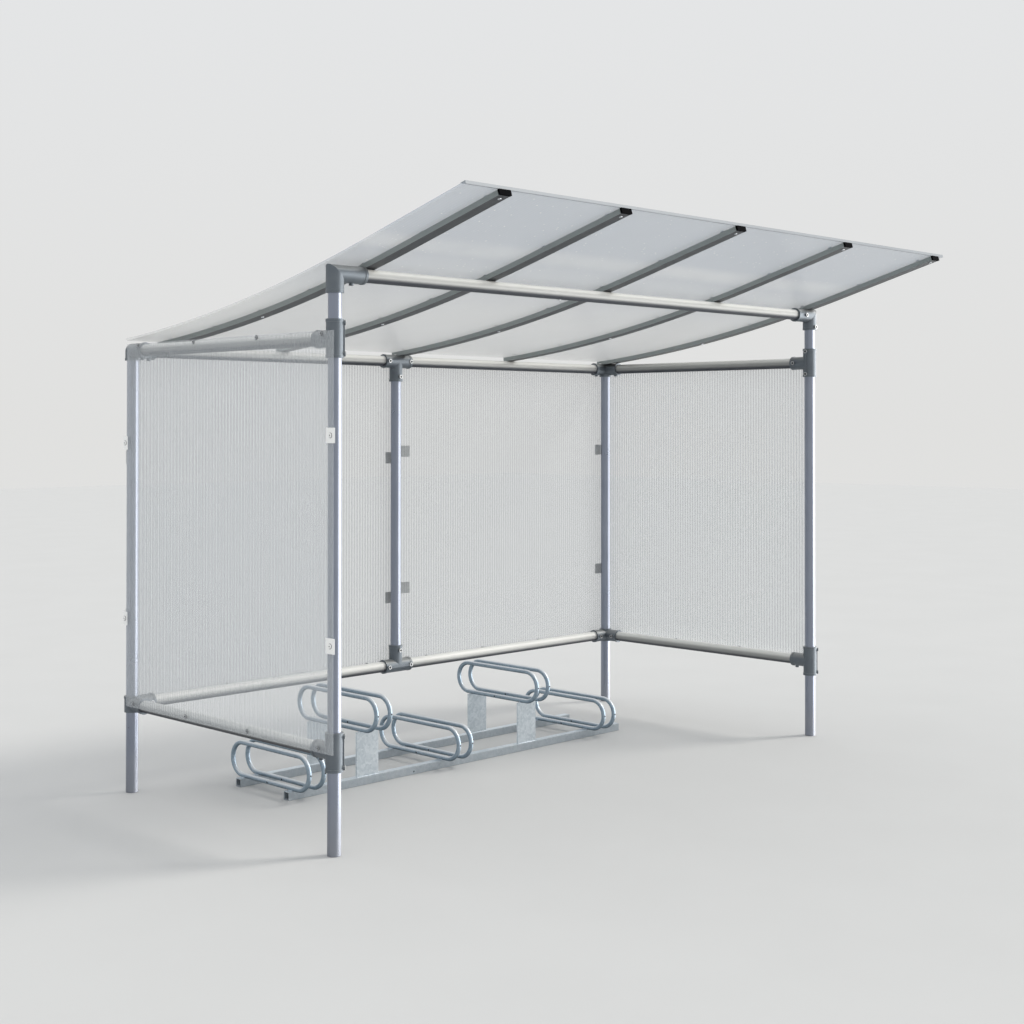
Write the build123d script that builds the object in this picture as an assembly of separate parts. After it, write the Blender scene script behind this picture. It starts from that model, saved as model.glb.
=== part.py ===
from build123d import *
import math
import os

os.makedirs("parts", exist_ok=True)

# Bike shelter. Millimetres, Z up, the open front faces -Y.
# The left front post stands at X 0, Y 0 while the pieces are made. At the end
# everything moves together, so that the origin is under the middle.

# Frame of round tube
TUBE_R = 25.0
TUBE_WALL = 2.0
WIDTH = 3000.0
DEPTH = 1349.0
MIDDLE_X = 1456.0
BEAM_Z = 2079.0
RAIL_DROP = 233.0
TOP_Z = BEAM_Z - RAIL_DROP
LOW_Z = 368.0

# Cast fittings
CAST_R = 32.0
ELBOW_R = 33.0
RIM_R = 33.5
RIM_L = 11.0
BOSS_R = 9.0
BOSS_OUT = 6.0
BOSS_CUP_R = 5.5
BOSS_CUP = 5.0
BOSS_IN = 14.0
BOSS_IN_BRANCH = 23.0
RIB_W = 9.0
RIB_OUT = 2.5
BORE_GAP = 0.15
TEE_HALF = 70.0
TEE_HALF_MIDDLE = 82.0
REACH = 98.0
ELBOW_REACH = 130.0
ELBOW_DROP = 70.0
CORNER_DROP = 40.0
TUBE_START = 29.0
BORE_START = 27.5
BRANCH_STEP = 0.4
POST_UP = 11.0

# Roof
ROOF_R = 8580.0
ROOF_BEND_Y = -202.0
RAFTER_W = 52.0
RAFTER_H = 20.0
RAFTER_WALL = 2.0
RAFTER_OVER = 700.0
RAFTER_BACK = 22.0
RAFTER_LAST = 19.0
RAFTER_AT = [0.053, 0.26, 0.4917, 0.7483]
SEAT_GAP = 0.3
CAP_W = 56.0
CAP_T = 9.0
SHEET_T = 10.0
SHEET_OVER_LEFT = 20.0
SHEET_OVER_RIGHT = 55.0
SHEET_OVER = 6.0
TRIM_T = 2.0
TRIM_LIP = 22.0

# Wall panels
PANEL_T = 6.0
PANEL_OFF = RIM_R + 0.3
PANEL_BELOW = 2.0
PANEL_ABOVE = 27.0
PANEL_LONG = 38.0
PANEL_SHORT = 16.0
PANEL_BACK_END = 2.0
PANEL_SEAM = 4.0

# Clips that hold the panels to the posts. Heights are above the low rails
CLIP_H = 55.0
CLIP_T = 3.0
HEAD_R = 8.5
HEAD_OUT = 4.0
HEAD_IN = 1.0
HEAD_ROUND = 2.8
HEAD_CUP_R = 3.0
HEAD_CUP = 2.0
CLIP_LONG = (5.0, 52.0)
CLIP_SHORT = (-4.0, 26.0)
CLIP_SHORT_RIGHT = (4.0, 34.0)
CLIP_END = (-7.0, 40.0)
CLIP_MIDDLE_LEFT = (-31.0, 38.0)
CLIP_MIDDLE_RIGHT = (40.0, 125.0)
CLIP_UP_LONG = [384.0, 1131.0]
CLIP_UP_SHORT = [362.0, 1093.0]
CLIP_UP_END = [367.0, 1031.0]
CLIP_UP_MIDDLE_LEFT = [326.0, 1008.0]
CLIP_UP_MIDDLE_RIGHT = [367.0, 1039.0]

# Rack
RAIL_A = 35.0
RAIL_WALL = 3.0
RAIL_X0 = 366.0
RAIL_X1 = 2422.0
RAIL_FRONT_Y = 752.0
RAIL_PITCH_Y = 336.0
LOOP_R = 10.0
LOOP_L = 530.0
LOOP_H = 138.0
LOOP_AHEAD = 100.0
SLOT = 75.0
LOOP_X = [430.0, 785.0, 1261.0, 1761.0, 2230.0]
RAISED = [False, True, False, True, False]
PLATE_W = 120.0
PLATE_T = 8.0
PLATE_H = 193.0
PLATE_BACK = 3.0

made = {}


def rod(p, q, r):
    p = Vector(*p)
    q = Vector(*q)
    d = q - p
    return Solid.make_cylinder(r, d.length, Plane(origin=p, z_dir=d))


def tube(p, q):
    return rod(p, q, TUBE_R) - rod(p, q, TUBE_R - TUBE_WALL)


def along(d, s):
    return tuple(k * s for k in d)


def sum_of(a, b):
    return tuple(m + n for m, n in zip(a, b))


def boss_on(body, d, s, u):
    """Round boss with a cup for a set screw, at s along d, facing u."""
    at = along(d, s)
    top = RIM_R + BOSS_OUT
    boss = rod(sum_of(at, along(u, BORE_START)), sum_of(at, along(u, top)), BOSS_R)
    cup = rod(sum_of(at, along(u, top - BOSS_CUP)), sum_of(at, along(u, top + 1)), BOSS_CUP_R)
    return body + boss - cup


def casting(spans, bosses=(), domed=False, rib=None):
    """Cast fitting round the origin. Each span is (direction, from, to).

    A span from below zero is a sleeve that a tube passes through. The others
    are sockets, bored from BORE_START. A domed casting is closed at the
    low end of its first span. Each boss is (direction, distance, facing). A
    rib runs along the first span on the side that its direction gives.
    """
    body = None
    for n, (d, s0, s1) in enumerate(spans):
        cyl = rod(along(d, s0), along(d, s1), CAST_R - n * BRANCH_STEP)
        body = cyl if body is None else body + cyl
    if domed:
        body += Solid.make_sphere(CAST_R - BRANCH_STEP / 2, angle1=-90, angle2=90)
    for d, s0, s1 in spans:
        body += rod(along(d, s1 - RIM_L), along(d, s1), RIM_R)
        if s0 < -RIM_R - RIM_L:
            body += rod(along(d, s0), along(d, s0 + RIM_L), RIM_R)
    if rib:
        d, s0, s1 = spans[0]
        high = RIM_R + RIB_OUT - BORE_START
        bar = Box(high, RIB_W, s1 - s0 - 2 * RIM_L)
        middle = sum_of(along(rib, BORE_START + high / 2), along(d, (s0 + s1) / 2))
        body += Plane(origin=middle, x_dir=rib, z_dir=d) * bar
    for d, s, u in bosses:
        body = boss_on(body, d, s, u)
    for n, (d, s0, s1) in enumerate(spans):
        start = BORE_START
        if n == 0:
            start = -POST_UP - 1 if domed else s0
        body -= rod(along(d, start), along(d, s1), TUBE_R + BORE_GAP)
    return body


X, Y, Z = (1, 0, 0), (0, 1, 0), (0, 0, 1)
NX, NY, NZ = (-1, 0, 0), (0, -1, 0), (0, 0, -1)
DIAGONAL = (math.sqrt(0.5), -math.sqrt(0.5), 0)
NDIAGONAL = (-math.sqrt(0.5), -math.sqrt(0.5), 0)
left, right = 0.0, WIDTH

# Posts
post_top = BEAM_Z - TUBE_START
back_top = TOP_Z + POST_UP
made["post_front_left"] = tube((left, 0, 0), (left, 0, post_top))
made["post_front_right"] = tube((right, 0, 0), (right, 0, post_top))
made["post_back_left"] = tube((left, DEPTH, 0), (left, DEPTH, back_top))
made["post_back_right"] = tube((right, DEPTH, 0), (right, DEPTH, back_top))
made["post_back_middle"] = tube(
    (MIDDLE_X, DEPTH, LOW_Z + TUBE_START), (MIDDLE_X, DEPTH, TOP_Z - TUBE_START)
)

# Rails
a, b = left + TUBE_START, right - TUBE_START
made["beam_front"] = tube((a, 0, BEAM_Z), (b, 0, BEAM_Z))
made["rail_back_top"] = tube((a, DEPTH, TOP_Z), (b, DEPTH, TOP_Z))
made["rail_back_bottom"] = tube((a, DEPTH, LOW_Z), (b, DEPTH, LOW_Z))
a, b = TUBE_START, DEPTH - TUBE_START
for side, x in (("left", left), ("right", right)):
    made[f"rail_{side}_top"] = tube((x, a, TOP_Z), (x, b, TOP_Z))
    made[f"rail_{side}_bottom"] = tube((x, a, LOW_Z), (x, b, LOW_Z))

# Fittings as for the left side. Those of the right side are mirrored
at_end = TEE_HALF - BOSS_IN
at_branch = REACH - BOSS_IN_BRANCH


def tee(facing, branch_facing):
    bosses = [(Z, at_end, facing), (Z, -at_end, facing), (Y, at_branch, branch_facing)]
    return casting([(Z, -TEE_HALF, TEE_HALF), (Y, 0, REACH)], bosses, rib=facing)


def elbow(arm_facing, drop_facing):
    """Elbow with a mitred corner."""
    mitre = Plane(origin=(0, 0, 0), z_dir=(1, 0, 1))
    far = ELBOW_R * 2
    drop = rod((0, 0, far), (0, 0, -ELBOW_DROP), ELBOW_R).split(mitre, keep=Keep.BOTTOM)
    arm = rod((-far, 0, 0), (ELBOW_REACH, 0, 0), CAST_R).split(mitre, keep=Keep.TOP)
    body = drop + arm
    body += rod((0, 0, RIM_L - ELBOW_DROP), (0, 0, -ELBOW_DROP), RIM_R)
    body += rod((ELBOW_REACH - RIM_L, 0, 0), (ELBOW_REACH, 0, 0), RIM_R)
    body = boss_on(body, X, at_branch, arm_facing)
    body = boss_on(body, NZ, ELBOW_DROP - BOSS_IN, drop_facing)
    body -= rod((0, 0, -BORE_START), (0, 0, -ELBOW_DROP), TUBE_R + BORE_GAP)
    return body - rod((BORE_START, 0, 0), (ELBOW_REACH, 0, 0), TUBE_R + BORE_GAP)


corner_top = casting(
    [(NZ, 0, CORNER_DROP), (X, 0, REACH), (NY, 0, REACH)],
    [(X, at_branch, NZ), (NY, at_branch, NZ)],
    domed=True,
)
corner_bottom = casting(
    [(Z, -RIM_R, RIM_R), (X, 0, REACH), (NY, 0, REACH)],
    [(X, at_branch, NY), (NY, at_branch, X)],
)
for side, x, fittings in (
    ("left", left, (tee(DIAGONAL, X), tee(DIAGONAL, NZ), elbow(NZ, Y))),
    ("right", right, (tee(X, X), tee(NDIAGONAL, NZ), elbow(NY, NY))),
):
    for name, shape, y, z in (
        (f"tee_{side}_top", fittings[0], 0, TOP_Z),
        (f"tee_{side}_bottom", fittings[1], 0, LOW_Z),
        (f"elbow_{side}", fittings[2], 0, BEAM_Z),
        (f"corner_{side}_top", corner_top, DEPTH, TOP_Z),
        (f"corner_{side}_bottom", corner_bottom, DEPTH, LOW_Z),
    ):
        if side == "right":
            shape = mirror(shape, about=Plane.YZ)
        made[name] = Pos(x, y, z) * shape
at_end = TEE_HALF_MIDDLE - BOSS_IN
tee_middle = casting(
    [(X, -TEE_HALF_MIDDLE, TEE_HALF_MIDDLE), (Z, 0, REACH)],
    [(X, at_end, NY), (X, -at_end, NY), (Z, at_branch, NY)],
    rib=NY,
)
made["tee_middle_bottom"] = Pos(MIDDLE_X, DEPTH, LOW_Z) * tee_middle
made["tee_middle_top"] = Pos(MIDDLE_X, DEPTH, TOP_Z) * mirror(tee_middle, about=Plane.XY)

# Roof line: an arc that rests on the beam and the back rail, then a straight front
half = math.hypot(DEPTH, BEAM_Z - TOP_Z) / 2
ux, uz = DEPTH / (2 * half), (TOP_Z - BEAM_Z) / (2 * half)
rise = math.sqrt((ROOF_R + TUBE_R) ** 2 - half ** 2)
CY = DEPTH / 2 - uz * rise
CZ = (BEAM_Z + TOP_Z) / 2 + ux * rise
slope_back = math.asin((CY - DEPTH - RAFTER_BACK) / ROOF_R)
ROOF_SLOPE = math.asin((CY - ROOF_BEND_Y) / ROOF_R)
STRAIGHT = (ROOF_BEND_Y + RAFTER_OVER) / math.cos(ROOF_SLOPE)


def on_arc(d, ang):
    return (CY - (ROOF_R - d) * math.sin(ang), CZ - (ROOF_R - d) * math.cos(ang))


def on_front(d, run):
    y, z = on_arc(d, ROOF_SLOPE)
    return (y - run * math.cos(ROOF_SLOPE), z + run * math.sin(ROOF_SLOPE))


def strip(d0, d1, x0, x1, run=STRAIGHT, back=slope_back):
    """Roof strip between two heights above the rafters' underside."""
    mid = (ROOF_SLOPE + back) / 2
    edges = [
        Edge.make_line((x0, *on_front(d0, run)), (x0, *on_arc(d0, ROOF_SLOPE))),
        Edge.make_three_point_arc(
            (x0, *on_arc(d0, ROOF_SLOPE)), (x0, *on_arc(d0, mid)), (x0, *on_arc(d0, back))
        ),
        Edge.make_line((x0, *on_arc(d0, back)), (x0, *on_arc(d1, back))),
        Edge.make_three_point_arc(
            (x0, *on_arc(d1, back)), (x0, *on_arc(d1, mid)), (x0, *on_arc(d1, ROOF_SLOPE))
        ),
        Edge.make_line((x0, *on_arc(d1, ROOF_SLOPE)), (x0, *on_front(d1, run))),
        Edge.make_line((x0, *on_front(d1, run)), (x0, *on_front(d0, run))),
    ]
    face = Face(Wire(edges))
    return Solid.extrude(face, Vector(x1 - x0, 0, 0))


# Fittings on the beam and back rail that a rafter is notched for
SEATS = [
    (right - ELBOW_REACH, right + RIM_R, 0, BEAM_Z),
    (MIDDLE_X - TEE_HALF_MIDDLE, MIDDLE_X + TEE_HALF_MIDDLE, DEPTH, TOP_Z),
    (right - REACH, right + RIM_R, DEPTH, TOP_Z),
]

# Rafters, hollow and open at the back, each with a plug at the front
rafter_at = [WIDTH * share for share in RAFTER_AT] + [WIDTH - RAFTER_LAST]
caps = []
for i, x in enumerate(rafter_at):
    x0, x1 = x - RAFTER_W / 2, x + RAFTER_W / 2
    w = RAFTER_WALL
    rafter = strip(0, RAFTER_H, x0, x1) - strip(w, RAFTER_H - w, x0 + w, x1 - w)
    for low_x, high_x, y, z in SEATS:
        if x0 < high_x and x1 > low_x:
            rafter -= rod((x0 - 1, y, z), (x1 + 1, y, z), RIM_R + SEAT_GAP)
    if x1 > right - RIM_R:
        socket = (right, DEPTH - REACH - 1, TOP_Z), (right, DEPTH, TOP_Z)
        rafter -= rod(*socket, RIM_R + SEAT_GAP)
    made[f"rafter_{i + 1}"] = rafter
    c0, c1 = x - CAP_W / 2, x + CAP_W / 2
    ends = [(0, STRAIGHT), (0, STRAIGHT + CAP_T), (RAFTER_H, STRAIGHT + CAP_T), (RAFTER_H, STRAIGHT)]
    cap = Polyline(*[(c0, *on_front(d, run)) for d, run in ends], close=True)
    caps.append(Solid.extrude(Face(Wire(cap.edges())), Vector(c1 - c0, 0, 0)))
made["rafter_caps"] = Compound(caps)

# Sheet and the strip along its front edge
run = STRAIGHT + SHEET_OVER
top = RAFTER_H + SHEET_T
sheet_left, sheet_right = left - SHEET_OVER_LEFT, right + SHEET_OVER_RIGHT
made["roof_sheet"] = strip(RAFTER_H, top, sheet_left, sheet_right, run)
high = top + TRIM_T
ends = [
    (RAFTER_H, run),
    (RAFTER_H, run + TRIM_T),
    (high, run + TRIM_T),
    (high, run - TRIM_LIP),
    (top, run - TRIM_LIP),
    (top, run),
]
trim = Polyline(*[(sheet_left, *on_front(d, r)) for d, r in ends], close=True)
made["roof_front_trim"] = Solid.extrude(Face(Wire(trim.edges())), Vector(sheet_right - sheet_left, 0, 0))


def block(x0, x1, y0, y1, z0, z1):
    return Pos((x0 + x1) / 2, (y0 + y1) / 2, (z0 + z1) / 2) * Box(x1 - x0, y1 - y0, z1 - z0)


# Wall panels outside the frame. The right one is turned end for end
low, high = LOW_Z - PANEL_BELOW, TOP_Z + PANEL_ABOVE
face = PANEL_OFF + PANEL_T
made["panel_left"] = block(
    left - face, left - PANEL_OFF, -PANEL_LONG, DEPTH - PANEL_SHORT, low, high
)
made["panel_right"] = block(
    right + PANEL_OFF, right + face, PANEL_SHORT, DEPTH + PANEL_LONG, low, high
)
seam = WIDTH / 2
made["panel_back_left"] = block(
    left - PANEL_BACK_END, seam - PANEL_SEAM / 2, DEPTH + PANEL_OFF, DEPTH + face, low, high
)
made["panel_back_right"] = block(
    seam + PANEL_SEAM / 2, right + PANEL_BACK_END, DEPTH + PANEL_OFF, DEPTH + face, low, high
)


# Round screw head of a clip, with its socket, standing on a plate at Z 0
low_end = (Align.CENTER, Align.CENTER, Align.MIN)
head = Pos(0, 0, -HEAD_IN) * Cylinder(HEAD_R, HEAD_IN + HEAD_OUT, align=low_end)
head = fillet(head.edges().sort_by(Axis.Z)[-1:], HEAD_ROUND)
head -= Pos(0, 0, HEAD_OUT - HEAD_CUP) * Cylinder(HEAD_CUP_R, HEAD_CUP + 1, align=low_end)


def clips(heights, out, x0, x1, y0, y1):
    """Clip plates at these heights, each with a screw head on the side that faces out."""
    x0, x1 = sorted((x0, x1))
    y0, y1 = sorted((y0, y1))
    found = []
    for up in heights:
        z = LOW_Z + up
        plate = block(x0, x1, y0, y1, z - CLIP_H / 2, z + CLIP_H / 2)
        outside = Vector((x0 + x1) / 2, (y0 + y1) / 2, z) + Vector(*out) * (CLIP_T / 2)
        found.append(plate + Plane(origin=outside, z_dir=out) * head)
    return found


# Clip plates flat on the outside of the panels
far = face + CLIP_T
a, b = CLIP_LONG
c, d = CLIP_SHORT
made["clips_left"] = Compound(
    clips(CLIP_UP_LONG, (-1, 0, 0), left - face, left - far, -a, -b)
    + clips(CLIP_UP_SHORT, (-1, 0, 0), left - face, left - far, DEPTH - c, DEPTH - d)
)
made["clips_right"] = Compound(
    clips(CLIP_UP_LONG, (1, 0, 0), right + face, right + far, DEPTH + a, DEPTH + b)
    + clips(CLIP_UP_SHORT, (1, 0, 0), right + face, right + far, *CLIP_SHORT_RIGHT)
)
plates = []
for heights, x0, x1 in (
    (CLIP_UP_END, left + CLIP_END[0], left + CLIP_END[1]),
    (CLIP_UP_MIDDLE_LEFT, MIDDLE_X + CLIP_MIDDLE_LEFT[0], MIDDLE_X + CLIP_MIDDLE_LEFT[1]),
    (CLIP_UP_MIDDLE_RIGHT, MIDDLE_X + CLIP_MIDDLE_RIGHT[0], MIDDLE_X + CLIP_MIDDLE_RIGHT[1]),
    (CLIP_UP_END, right - CLIP_END[0], right - CLIP_END[1]),
):
    plates += clips(heights, (0, 1, 0), x0, x1, DEPTH + face, DEPTH + far)
made["clips_back"] = Compound(plates)

# Rack rails
for name, y in (("front", RAIL_FRONT_Y), ("rear", RAIL_FRONT_Y + RAIL_PITCH_Y)):
    w = RAIL_WALL
    made[f"rack_rail_{name}"] = block(RAIL_X0, RAIL_X1, y, y + RAIL_A, 0, RAIL_A) - block(
        RAIL_X0 - 1, RAIL_X1 + 1, y + w, y + RAIL_A - w, w, RAIL_A - w
    )


def loop(x, y0, z0):
    """Stadium of round bar in the plane X = x, centre line from y0 and z0."""
    r = LOOP_H / 2
    ya, yb = y0 + r, y0 + LOOP_L - r
    z1 = z0 + LOOP_H
    zm = z0 + r
    ring = rod((x, ya, z0), (x, yb, z0), LOOP_R) + rod((x, ya, z1), (x, yb, z1), LOOP_R)
    for y, d in ((ya, -1), (yb, 1)):
        disc = Plane(origin=(x, y, z0), z_dir=(0, 1, 0)) * Circle(LOOP_R)
        axis = Axis((x, y, zm), (d, 0, 0))
        ring += revolve(disc, axis, 180)
    return ring


# Loops in pairs, high ones on plates
for n, x in enumerate(LOOP_X):
    raise_z = PLATE_H if RAISED[n] else 0.0
    z0 = RAIL_A + raise_z + LOOP_R
    for side, dx in (("left", -SLOT / 2), ("right", SLOT / 2)):
        made[f"rack_loop_{n + 1}_{side}"] = loop(x + dx, RAIL_FRONT_Y - LOOP_AHEAD, z0)
    if RAISED[n]:
        for name, y in (("front", RAIL_FRONT_Y), ("rear", RAIL_FRONT_Y + RAIL_PITCH_Y)):
            y0 = y + PLATE_BACK
            made[f"rack_plate_{n + 1}_{name}"] = block(
                x - PLATE_W / 2, x + PLATE_W / 2, y0, y0 + PLATE_T, RAIL_A, RAIL_A + PLATE_H
            )

# Move the origin under the middle and write every piece
lows = [min(tuple(s.bounding_box().min)[k] for s in made.values()) for k in range(3)]
highs = [max(tuple(s.bounding_box().max)[k] for s in made.values()) for k in range(3)]
shift = (-(lows[0] + highs[0]) / 2, -(lows[1] + highs[1]) / 2, -lows[2])
print("low", lows, "high", highs, "shift", shift)
for name, shape in made.items():
    shape = Pos(*shift) * shape
    shape.label = name
    export_step(shape, f"parts/{name}.step")
print(len(made), "pieces")
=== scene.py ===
# %% [markdown]
# The frame comes first. The imported model holds every tube, fitting, rafter and sheet of the shelter at its
# real size, in metres, so the dressing below is made around it.

# %% Load the imported model
import math

import bmesh
import bpy
from mathutils import Matrix, Vector


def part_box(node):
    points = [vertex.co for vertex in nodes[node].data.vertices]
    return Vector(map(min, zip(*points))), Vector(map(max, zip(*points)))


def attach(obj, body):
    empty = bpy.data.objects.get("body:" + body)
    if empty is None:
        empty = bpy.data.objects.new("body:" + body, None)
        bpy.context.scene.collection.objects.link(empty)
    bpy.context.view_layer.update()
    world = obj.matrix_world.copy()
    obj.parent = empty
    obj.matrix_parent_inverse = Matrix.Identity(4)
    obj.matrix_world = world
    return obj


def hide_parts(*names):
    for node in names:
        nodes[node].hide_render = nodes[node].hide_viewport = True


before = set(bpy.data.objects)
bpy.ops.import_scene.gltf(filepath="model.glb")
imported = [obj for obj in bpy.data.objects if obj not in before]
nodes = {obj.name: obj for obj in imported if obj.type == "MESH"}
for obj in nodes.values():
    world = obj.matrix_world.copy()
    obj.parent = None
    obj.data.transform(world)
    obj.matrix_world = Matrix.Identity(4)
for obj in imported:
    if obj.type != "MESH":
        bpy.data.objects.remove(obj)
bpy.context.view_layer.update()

# %% [markdown]
# A node's box gives the places that the later cells need. A post is upright, so the middle of its box is
# its axis, and the dressing is placed from such axes instead of typed positions.

# %% Measure the posts
def middle(name):
    low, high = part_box(name)
    return (low + high) / 2


post_front_left = middle("post_front_left")
post_front_right = middle("post_front_right")
post_back_left = middle("post_back_left")
print("posts stand", round(post_front_right.x - post_front_left.x, 3), "m apart across and",
      round(post_back_left.y - post_front_left.y, 3), "m apart in depth")

# %% [markdown]
# The camera stands in front and to the left of the shelter at eye height, turned a little over 45 degrees,
# and looks almost level. A level camera keeps the posts upright in the picture, so the view is moved down
# with the lens shift instead of by tilting. A long lens keeps the far posts nearly as large as the near
# ones. The focal length and the middle of the view are given in pixels of the square picture.

# %% Place the camera
PICTURE = 1024
FOCAL_LENGTH = 1530.89
MIDDLE_ROW = 410.45
SENSOR = 36
FROM_POST_X, FROM_POST_Y, EYE_HEIGHT = -3.4414, -4.3101, 1.5349
TILT, ROLL, TURN = 0.558, -0.026, -45.211
lens = bpy.data.cameras.new("camera")
camera = bpy.data.objects.new("camera", lens)
bpy.context.scene.collection.objects.link(camera)
camera.location = (post_front_left.x + FROM_POST_X, post_front_left.y + FROM_POST_Y, EYE_HEIGHT)
camera.rotation_euler = (math.radians(90 + TILT), math.radians(ROLL), math.radians(TURN))
lens.sensor_width = SENSOR
lens.lens = SENSOR * FOCAL_LENGTH / PICTURE
lens.shift_y = (MIDDLE_ROW - PICTURE / 2) / PICTURE
lens.clip_end = 100
bpy.context.scene.camera = camera
print("lens", round(lens.lens, 2), "mm, shift", round(lens.shift_y, 4))

# %% [markdown]
# Shader sums are easier to read as Python than as a net of nodes. Value wraps one socket, so that an
# expression such as 1 - mask adds the Math nodes by itself, and Finish is one material, whose method node
# adds any other node with its settings and its inputs.

# %% Shader helpers
class Value:
    def __init__(self, finish, socket):
        self.finish = finish
        self.socket = socket

    def sum(self, operation, first, second):
        return self.finish.node("ShaderNodeMath", {"operation": operation}, {0: first, 1: second})[0]

    def __add__(self, other):
        return self.sum("ADD", self, other)

    def __radd__(self, other):
        return self.sum("ADD", other, self)

    def __sub__(self, other):
        return self.sum("SUBTRACT", self, other)

    def __rsub__(self, other):
        return self.sum("SUBTRACT", other, self)

    def __mul__(self, other):
        return self.sum("MULTIPLY", self, other)

    def __rmul__(self, other):
        return self.sum("MULTIPLY", other, self)


class Finish:
    def __init__(self, name, **settings):
        self.material = bpy.data.materials.new(name)
        self.material.use_nodes = True
        self.tree = self.material.node_tree
        self.surface = self.tree.nodes["Principled BSDF"]
        self.place = self.node("ShaderNodeTexCoord")["Object"]
        for socket, value in settings.items():
            self.set(socket.replace("_", " "), value)

    def node(self, kind, settings=None, inputs=None):
        new = self.tree.nodes.new(kind)
        for name, value in (settings or {}).items():
            setattr(new, name, value)
        for name, value in (inputs or {}).items():
            if isinstance(value, Value):
                self.tree.links.new(value.socket, new.inputs[name])
            else:
                new.inputs[name].default_value = value
        found = {}
        for index, socket in enumerate(new.outputs):
            found[index] = Value(self, socket)
            if socket.enabled:
                found[socket.name] = found[index]
        return found

    def set(self, name, value):
        if isinstance(value, Value):
            self.tree.links.new(value.socket, self.surface.inputs[name])
        else:
            self.surface.inputs[name].default_value = value

    def noise(self, scale, detail, roughness=0.5):
        inputs = {"Vector": self.place, "Scale": scale, "Detail": detail, "Roughness": roughness}
        return self.node("ShaderNodeTexNoise", {}, inputs)["Fac"]

    def along(self, axis):
        return self.node("ShaderNodeSeparateXYZ", {}, {"Vector": self.place})[axis]

    def band(self, value, low, high):
        return self.node("ShaderNodeMapRange", {"clamp": True, "interpolation_type": "SMOOTHSTEP"},
                         {"Value": value, "From Min": low, "From Max": high})["Result"]

    def colour(self, mask, first, second):
        both = {0: mask}
        for index, tone in ((6, first), (7, second)):
            both[index] = tone if isinstance(tone, Value) else (*tone, 1)
        return self.node("ShaderNodeMix", {"data_type": "RGBA"}, both)[2]

    def facing_up(self):
        """0 underneath, 0.5 on an upright face, 1 on top."""
        normal = self.node("ShaderNodeNewGeometry")["Normal"]
        return self.node("ShaderNodeSeparateXYZ", {}, {"Vector": normal})["Z"] * 0.5 + 0.5

    def edges(self, radius):
        """1 along the edges of a shape, 0 on its faces."""
        normal = self.node("ShaderNodeNewGeometry")["Normal"]
        rounded = self.node("ShaderNodeBevel", {"samples": 4}, {"Radius": radius})["Normal"]
        both = {0: rounded, 1: normal}
        same = self.node("ShaderNodeVectorMath", {"operation": "DOT_PRODUCT"}, both)["Value"]
        return self.band(1 - same, 0.02, 0.25)

    def bump(self, height, strength, distance):
        inputs = {"Height": height, "Strength": strength, "Distance": distance}
        self.set("Normal", self.node("ShaderNodeBump", {}, inputs)["Normal"])


# %% [markdown]
# The floor is a plain pale studio floor. It is one large flat sheet, with a very faint mottling so that it
# reads as a surface and not as empty space.

# %% Lay the floor
FLOOR_WIDTH = 60
FLOOR_GAP = 0.001
bpy.ops.object.select_all(action="DESELECT")
bpy.ops.mesh.primitive_plane_add(size=FLOOR_WIDTH, location=(0, 0, -FLOOR_GAP))
floor = bpy.context.object
floor.name = "floor"
pale = Finish("floor_pale", Roughness=0.9, Specular_IOR_Level=0.1)
mottle = pale.noise(1.7, 3)
pale.set("Base Color", pale.colour(mottle, (0.60, 0.60, 0.59), (0.63, 0.63, 0.62)))
floor.data.materials.append(pale.material)
print("floor", floor.dimensions.x, "m wide")

# %% [markdown]
# The light comes from the right of the picture, which gives each round post a bright stripe on its right
# side. A tall softbox far away does this evenly. It is hidden from the camera, and it reaches below the
# floor, so that the stripes run right down to the feet.

# %% Hang the softbox
def aim(name, light, at, target):
    stand = bpy.data.objects.new(name, light)
    bpy.context.scene.collection.objects.link(stand)
    stand.location = at
    stand.rotation_euler = (Vector(at) - Vector(target)).to_track_quat("Z", "Y").to_euler()
    return stand


SOFTBOX_PLACE, SOFTBOX_TARGET = (16.5, -7.2, 2.0), (0, 0, 2.0)
softbox = bpy.data.lights.new("softbox", "AREA")
softbox.shape = "RECTANGLE"
softbox.size = 30
softbox.size_y = 16
softbox.energy = 6800
softbox.color = (1.0, 0.985, 0.96)
softbox_stand = aim("softbox", softbox, SOFTBOX_PLACE, SOFTBOX_TARGET)
softbox_stand.visible_camera = False
print("softbox", softbox.energy, "W")

# %% [markdown]
# Light linking chooses what the softbox lights: the tubes, the fittings, the rafters, the loops and the
# fasteners. On the floor, the sheets, the clips and the flat irons of the rack it would only burn a bright
# patch, so it is kept off them. The floor doesn't block it either.

# %% Choose what the softbox lights
FLAT_PIECES = ("panel", "clips", "roof", "rack_plate", "rack_rail")
kept_off = bpy.data.collections.new("kept_off_softbox")
let_through = bpy.data.collections.new("lets_softbox_through")
softbox_stand.light_linking.receiver_collection = kept_off
softbox_stand.light_linking.blocker_collection = let_through


def leave_out(collection, *things):
    for thing in things:
        collection.objects.link(thing)
    for entry in collection.collection_objects:
        entry.light_linking.link_state = "EXCLUDE"


leave_out(let_through, floor)
leave_out(kept_off, floor, *(node for name, node in nodes.items() if name.startswith(FLAT_PIECES)))

# %% [markdown]
# A weak sun lamp draws the soft shadows. The surroundings are brighter overhead than at the horizon, so
# that the undersides stay darker than the tops.

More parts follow.
